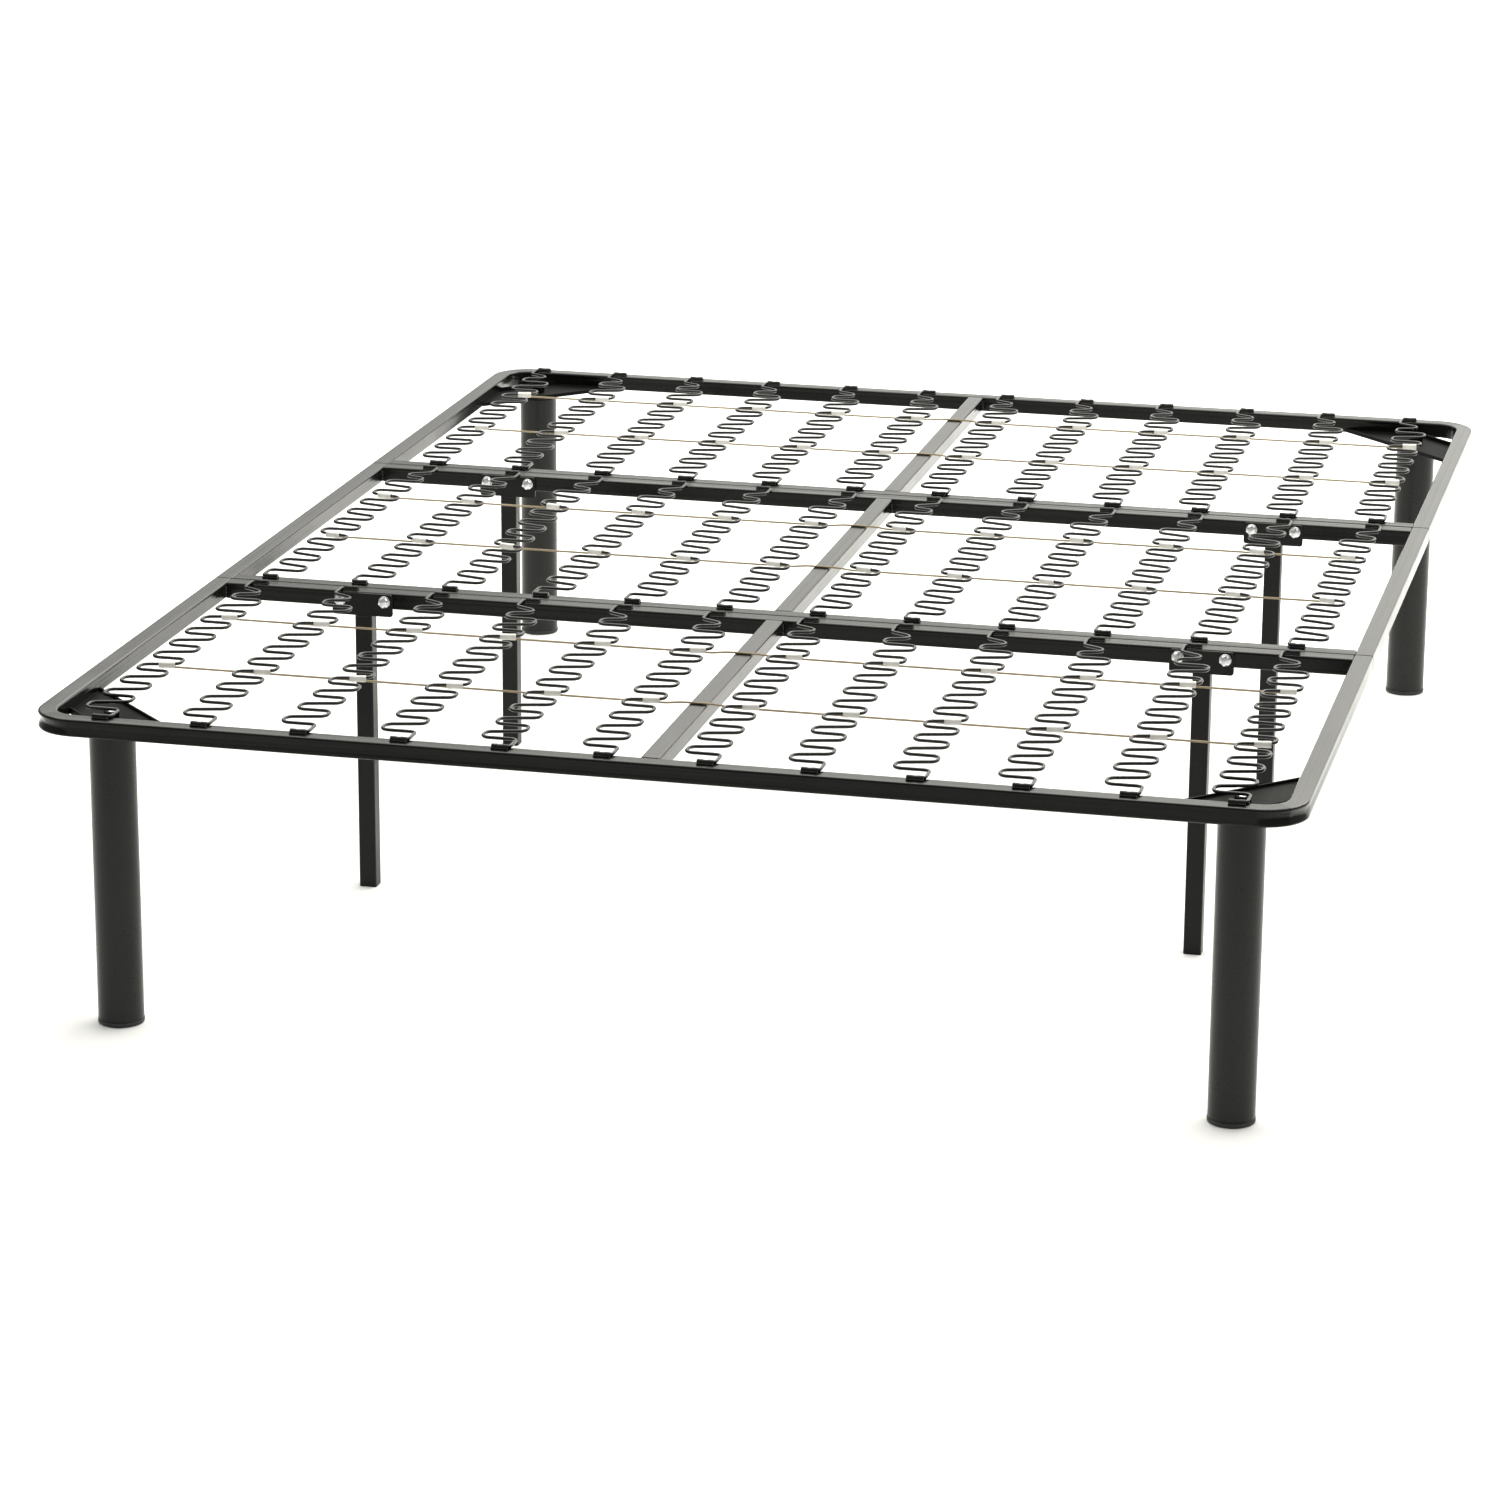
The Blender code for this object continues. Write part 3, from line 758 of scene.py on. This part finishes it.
def hex_mesh(name, shank_length):
    """Make a hex bolt along +Z from the underside of its head, with washer, thread and nut."""
    shape = bmesh.new()
    nut_start = shank_length - BOLT_NUT - BOLT_PAST_NUT
    nut_end = nut_start + BOLT_NUT
    across = BOLT_ACROSS / 2
    corner = across / cos(pi / 6)
    turn = radians(11)
    head = [(across * 0.90, -BOLT_HEAD), (corner, -BOLT_HEAD + 0.0009), (corner, -WASHER_TOP)]
    add_hex(shape, head, turn)
    washer = [(0.0, -WASHER_TOP), (WASHER_RADIUS - 0.0003, -WASHER_TOP), (WASHER_RADIUS, -0.0008)]
    washer += [(WASHER_RADIUS, -0.0002), (0.0, -0.0002)]
    turned(shape, washer, 36)
    threads = [(0.0, -0.0003), (0.0039, -0.0003), (0.0039, nut_start - 0.004)]
    level = nut_start - 0.003
    while level < shank_length - 0.001:
        threads += [(BOLT_CREST, level), (BOLT_ROOT, level + BOLT_PITCH / 2)]
        level += BOLT_PITCH
    threads += [(0.0033, shank_length - 0.0004), (0.0029, shank_length), (0.0, shank_length)]
    turned(shape, list(reversed(threads)), 24)
    nut = [(across * 0.97, nut_start), (corner, nut_start + 0.0008)]
    nut += [(corner, nut_end - 0.0008), (across * 0.92, nut_end)]
    add_hex(shape, nut, turn * 2)
    return finish_mesh(name, shape)


def add_hex(shape, profile, turn):
    """Add a hexagon whose rims are chamfered by a cone, as bolt heads are."""
    flats = BOLT_ACROSS / 2
    rings = []
    for radius, height in profile:
        ring = []
        for k in range(HEX_POINTS):
            angle = 2 * pi * k / HEX_POINTS
            to_flat = (angle + pi / 6) % (pi / 3) - pi / 6
            reach = min(radius, flats / cos(to_flat))
            ring.append(shape.verts.new((reach * cos(angle + turn), reach * sin(angle + turn), height)))
        rings.append(ring)
    loft(shape, rings)


def build_bolts(zinc):
    """Put a detailed bolt in the place of each CAD bolt."""
    names = sorted(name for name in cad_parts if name.startswith("bolt_"))
    low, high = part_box(names[0])
    mesh = hex_mesh("hex_bolt", high.y - low.y - BOLT_HEAD)
    for name in names:
        low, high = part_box(name)
        place = Matrix.Translation(((low.x + high.x) / 2, low.y + BOLT_HEAD, (low.z + high.z) / 2))
        place = place @ Matrix.Rotation(radians(-90), 4, "X")
        piece("hex_" + name, mesh, zinc, [name], place, 40.0)


def loop_sizes(length):
    """Give the length of a spring's loops and of the bend between two of its bars."""
    loop = (length - 2 * SPRING_FIRST_BAR) / SPRING_LOOPS
    return loop, (loop - SPRING_LEAN) / 2


def panel_hand(panel):
    """Give 1 for a panel's row of springs, or -1 for the middle one's, which is mirrored."""
    return -1 if panel == "middle" else 1


def spring_points(hand, length):
    """Give the corners of the spring wire's centreline, (across, along), from the panel's edge."""
    loop, bend = loop_sizes(length)
    reach = SPRING_HALF
    front = [(reach - WIRE_TAIL, SPRING_END_INSET), (reach, SPRING_END_INSET), (reach, SPRING_FIRST_BAR)]
    waves = []
    for turn in range(SPRING_LOOPS):
        bar = SPRING_FIRST_BAR + turn * loop
        leaning_end = bar + bend + SPRING_LEAN
        waves += [(-reach, bar), (-reach, bar + bend), (reach, leaning_end), (reach, bar + loop)]
    rear = [(-across, length - along) for across, along in reversed(front)]
    path = front + waves[:-1] + rear
    return [(hand * across, along) for across, along in path]


def wire_mesh(name, hand, length):
    """Make the round wire of a spring, its front end at Y = 0."""
    points = spring_points(hand, length)
    radii = [HOOK_ROUND, HOOK_ROUND] + [BEND_ROUND] * (len(points) - 6) + [HOOK_ROUND, HOOK_ROUND]
    path = filleted(points, radii, BEND_POINTS)
    shape = bmesh.new()
    section = round_section(WIRE_SHOWN, WIRE_SIDES)
    add_tube(shape, path, lambda index: section)
    return finish_mesh(name, shape)


def clip_section():
    """Give the outline of a spring clip seen from its end: (along the bed, up), about the wire."""
    inner = WIRE_RADIUS + 0.0001
    outer = inner + 0.0013
    base = -WIRE_RADIUS + 0.0001
    front = -0.0058
    back = 0.0058
    outline = [(front, base), (back, base), (back, base + 0.0012), (outer + 0.0006, base + 0.0014)]
    outline += [(outer * cos(radians(a)), outer * sin(radians(a))) for a in range(-10, 191, 15)]
    outline += [(-outer - 0.0006, base + 0.0014), (front, base + 0.0012)]
    return outline


def clips_mesh(name, hand, length):
    """Make the two clips that hold a spring's ends on the rails."""
    shape = bmesh.new()
    middle = SPRING_HALF - CLIP_SETBACK - CLIP_LENGTH / 2
    outline = clip_section()
    stations = mirrored((-1.0, 0.90), (-0.94, 1.0), (-0.30, 1.0), (-0.26, 0.93))
    for across, along in ((hand * middle, SPRING_END_INSET), (-hand * middle, length - SPRING_END_INSET)):
        rings = []
        for share, size in stations:
            x = across + share * CLIP_LENGTH / 2
            section = [(along + a * size, -WIRE_RADIUS + (b + WIRE_RADIUS) * size) for a, b in outline]
            rings.append([shape.verts.new((x, y, z)) for y, z in section])
        loft(shape, rings)
    return finish_mesh(name, shape)


def mirrored(*stations):
    """Repeat (share of the length, size) stations on the other side of the middle."""
    return stations + tuple((-share, size) for share, size in reversed(stations))


def spring_frame(panel, number):
    """Give a spring's middle X, the Y of its panel's front edge, and the height of its wire."""
    low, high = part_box("spring_{}_{:02d}".format(panel, number + 1))
    return (low.x + high.x) / 2, low.y - (SPRING_END_INSET - CLIP_HALF_DEPTH), low.z + WIRE_RADIUS


def build_springs(enamel, clip_steel):
    """Put a round wire and its clips in the place of each CAD spring."""
    low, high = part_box("spring_front_01")
    length = high.y - low.y + 2 * (SPRING_END_INSET - CLIP_HALF_DEPTH)
    wires = {hand: wire_mesh("spring_wire", hand, length) for hand in (1, -1)}
    clips = {hand: clips_mesh("spring_clips", hand, length) for hand in (1, -1)}
    for panel in PANELS:
        hand = panel_hand(panel)
        for number in range(SPRINGS):
            x, y, z = spring_frame(panel, number)
            place = Matrix.Translation((x, y, z))
            tag = "{}_{:02d}".format(panel, number + 1)
            piece("wire_" + tag, wires[hand], enamel, ["spring_" + tag], place, 60.0)
            piece("clips_" + tag, clips[hand], clip_steel, (), place)
    return length


def squared(value):
    """Push a sine or cosine outwards, which turns a circle towards a square."""
    return abs(value) ** SLEEVE_SQUARENESS * (1 if value > 0 else -1)


def sleeve_mesh(name):
    """Make the pale sleeve that holds a tie wire to a spring's bar."""
    shape = bmesh.new()
    length, depth, height = SLEEVE_SIZE
    rings = []
    for share, size in mirrored((-0.5, 0.92), (-0.48, 0.98), (-0.45, 1.0), (-0.12, 1.0), (-0.09, 0.96)):
        ring = []
        for k in range(SLEEVE_SIDES):
            angle = 2 * pi * k / SLEEVE_SIDES
            a = squared(cos(angle))
            b = squared(sin(angle))
            ring.append(shape.verts.new((share * length, a * depth / 2 * size, b * height / 2 * size)))
        rings.append(ring)
    loft(shape, rings)
    return finish_mesh(name, shape)


def tie_height(x, z, rail_top):
    """Give a tie wire's height: under the springs' bars, and on top of the centre rail."""
    dip = z - TIE_DIP
    rest = rail_top + TIE_RADIUS
    share = min(1.0, max(0.0, (abs(x) - TIE_REST) / TIE_SLOPE))
    share = share * share * (3 - 2 * share)
    return rest + (dip - rest) * share


def build_ties(length, paper, sleeve):
    """Run two tie wires across each panel, from the first spring to the last, with their sleeves."""
    loop, bend = loop_sizes(length)
    section = round_section(TIE_RADIUS, TIE_SIDES)
    sleeve_shape = sleeve_mesh("tie_sleeve")
    rail_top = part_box("frame_middle")[1].z
    for panel in PANELS:
        hand = panel_hand(panel)
        spring_xs = [spring_frame(panel, number)[0] for number in range(SPRINGS)]
        _, front, z = spring_frame(panel, 0)
        offset = SLEEVE_OFFSET[hand]
        lean = SPRING_LEAN * offset / (2 * SPRING_HALF) * hand
        tilt = atan2(SPRING_LEAN * hand, 2 * SPRING_HALF)
        start = spring_xs[0] + offset - TIE_END
        end = spring_xs[-1] + offset + TIE_END
        for row, bar in enumerate(TIE_BARS):
            y = front + SPRING_FIRST_BAR + bar * loop + bend + SPRING_LEAN / 2 + lean
            path = []
            for step in range(TIE_STEPS + 1):
                x = start + (end - start) * step / TIE_STEPS
                path.append(Vector((x, y, tie_height(x, z, rail_top))))
            shape = bmesh.new()
            add_tube(shape, path, lambda index: section)
            tag = "{}_{}".format(panel, row + 1)
            wire = "tie_wire_" + tag
            piece(wire, finish_mesh(wire, shape), paper, (), None, 60.0)
            for number, spring_x in enumerate(spring_xs):
                place = Matrix.Translation((spring_x + offset, y, z - SLEEVE_DROP))
                place = place @ Matrix.Rotation(tilt * SLEEVE_TURN, 4, "Z")
                holder = "tie_sleeve_{}_{:02d}".format(tag, number + 1)
                piece(holder, sleeve_shape, sleeve, (), place, 50.0)


def build_stage():
    """Lay the pale floor."""
    mesh = bpy.data.meshes.new("floor")
    shape = bmesh.new()
    bmesh.ops.create_grid(shape, x_segments=1, y_segments=1, size=45.0)
    shape.to_mesh(mesh)
    shape.free()
    floor = bpy.data.objects.new("floor", mesh)
    bpy.context.scene.collection.objects.link(floor)
    material = bpy.data.materials.new("floor_paint")
    material.use_nodes = True
    shader = material.node_tree.nodes["Principled BSDF"]
    shader.inputs["Base Color"].default_value = (0.86, 0.86, 0.86, 1.0)
    shader.inputs["Roughness"].default_value = 0.9
    shader.inputs["Specular IOR Level"].default_value = 0.1
    mesh.materials.append(material)


def build_light(name, place, target, size, power, colour=(1.0, 0.99, 0.915)):
    """Hang one soft box, turned to its target."""
    data = bpy.data.lights.new(name, "AREA")
    data.shape = "RECTANGLE"
    data.size, data.size_y = size
    data.energy = power
    data.color = colour
    lamp = bpy.data.objects.new(name, data)
    lamp.location = place
    lamp.visible_camera = False
    lamp.rotation_euler = (Vector(target) - Vector(place)).to_track_quat("-Z", "Y").to_euler()
    bpy.context.scene.collection.objects.link(lamp)


def build_lights():
    """Hang the soft boxes: over the bed and the floor, and upright ones that the rails' tops reflect."""
    for name, place, target, size, power in SOFT_BOXES:
        build_light(name, place, target, size, power)


def build_world(strength):
    """Fill the room with even white light."""
    world = bpy.data.worlds.new("studio")
    world.use_nodes = True
    backdrop = world.node_tree.nodes["Background"]
    backdrop.inputs["Color"].default_value = (1.0, 1.0, 1.0, 1.0)
    backdrop.inputs["Strength"].default_value = strength
    bpy.context.scene.world = world
    bpy.context.scene.view_settings.view_transform = "Standard"


def build_camera():
    """Set the camera at the viewing angle."""
    forward = Vector((
        sin(CAMERA_YAW) * cos(CAMERA_PITCH), cos(CAMERA_YAW) * cos(CAMERA_PITCH), -sin(CAMERA_PITCH)
    ))
    level = Vector((cos(CAMERA_YAW), -sin(CAMERA_YAW), 0.0))
    up = level.cross(forward)
    right = level * cos(CAMERA_ROLL) + up * sin(CAMERA_ROLL)
    above = up * cos(CAMERA_ROLL) - level * sin(CAMERA_ROLL)
    data = bpy.data.cameras.new("camera")
    data.lens = CAMERA_LENS
    data.sensor_width = 36.0
    camera = bpy.data.objects.new("camera", data)
    turn = Matrix((right, above, -forward)).transposed().to_4x4()
    camera.matrix_world = Matrix.Translation(CAMERA_PLACE) @ turn
    bpy.context.scene.collection.objects.link(camera)
    bpy.context.scene.camera = camera


def main():
    """Build every piece, the stage, the lights and the camera."""
    rail_dark = (0.003, 0.003, 0.0028)
    rail_light = (0.006, 0.006, 0.0055)
    rail_coats = tuple(
        paint(name, rail_dark, rail_light, 0.13, 0.22, index=index, grain=grain)
        for name, index, grain in (
            ("rail_enamel", 1.42, (1.0, 0.006, 1.0)),
            ("cross_enamel", 1.27, (0.006, 1.0, 1.0)),
        )
    )
    plate_paint = paint(
        "plate_enamel", (0.003, 0.003, 0.003), (0.005, 0.005, 0.005), 0.55, 0.65, index=1.15
    )
    leg_paint = paint("leg_enamel", (0.006, 0.006, 0.0055), (0.009, 0.009, 0.0083), 0.24, 0.32, index=1.34)
    support_paint = paint(
        "support_enamel", (0.006, 0.006, 0.0056), (0.009, 0.009, 0.0084), 0.30, 0.40, index=1.26
    )
    enamel = paint("wire_enamel", (0.003, 0.003, 0.003), (0.006, 0.006, 0.006), 0.14, 0.24, 0.00001, 1.42)
    clip_steel = paint("clip_enamel", (0.004, 0.004, 0.004), (0.007, 0.007, 0.007), 0.28, 0.38, 0.00001)
    plastic = moulded_plastic("foot_moulding", (0.012, 0.012, 0.012), 0.55, 0.00005)
    sleeve = moulded_plastic("sleeve_moulding", (0.50, 0.49, 0.46), 0.42, 0.00003)
    zinc = zinc_plate("bolt_zinc")
    paper = paper_wrap("tie_paper")
    for name in PANELS:
        build_panel(name, rail_coats)
    for name, side, end in CORNERS:
        build_corner_plate(name, side, end, plate_paint)
        build_leg(name, leg_paint, plastic, zinc)
        build_support(name, support_paint, plastic)
    build_bolts(zinc)
    length = build_springs(enamel, clip_steel)
    build_ties(length, paper, sleeve)
    build_stage()
    build_lights()
    build_world(WORLD_LIGHT)
    build_camera()


main()
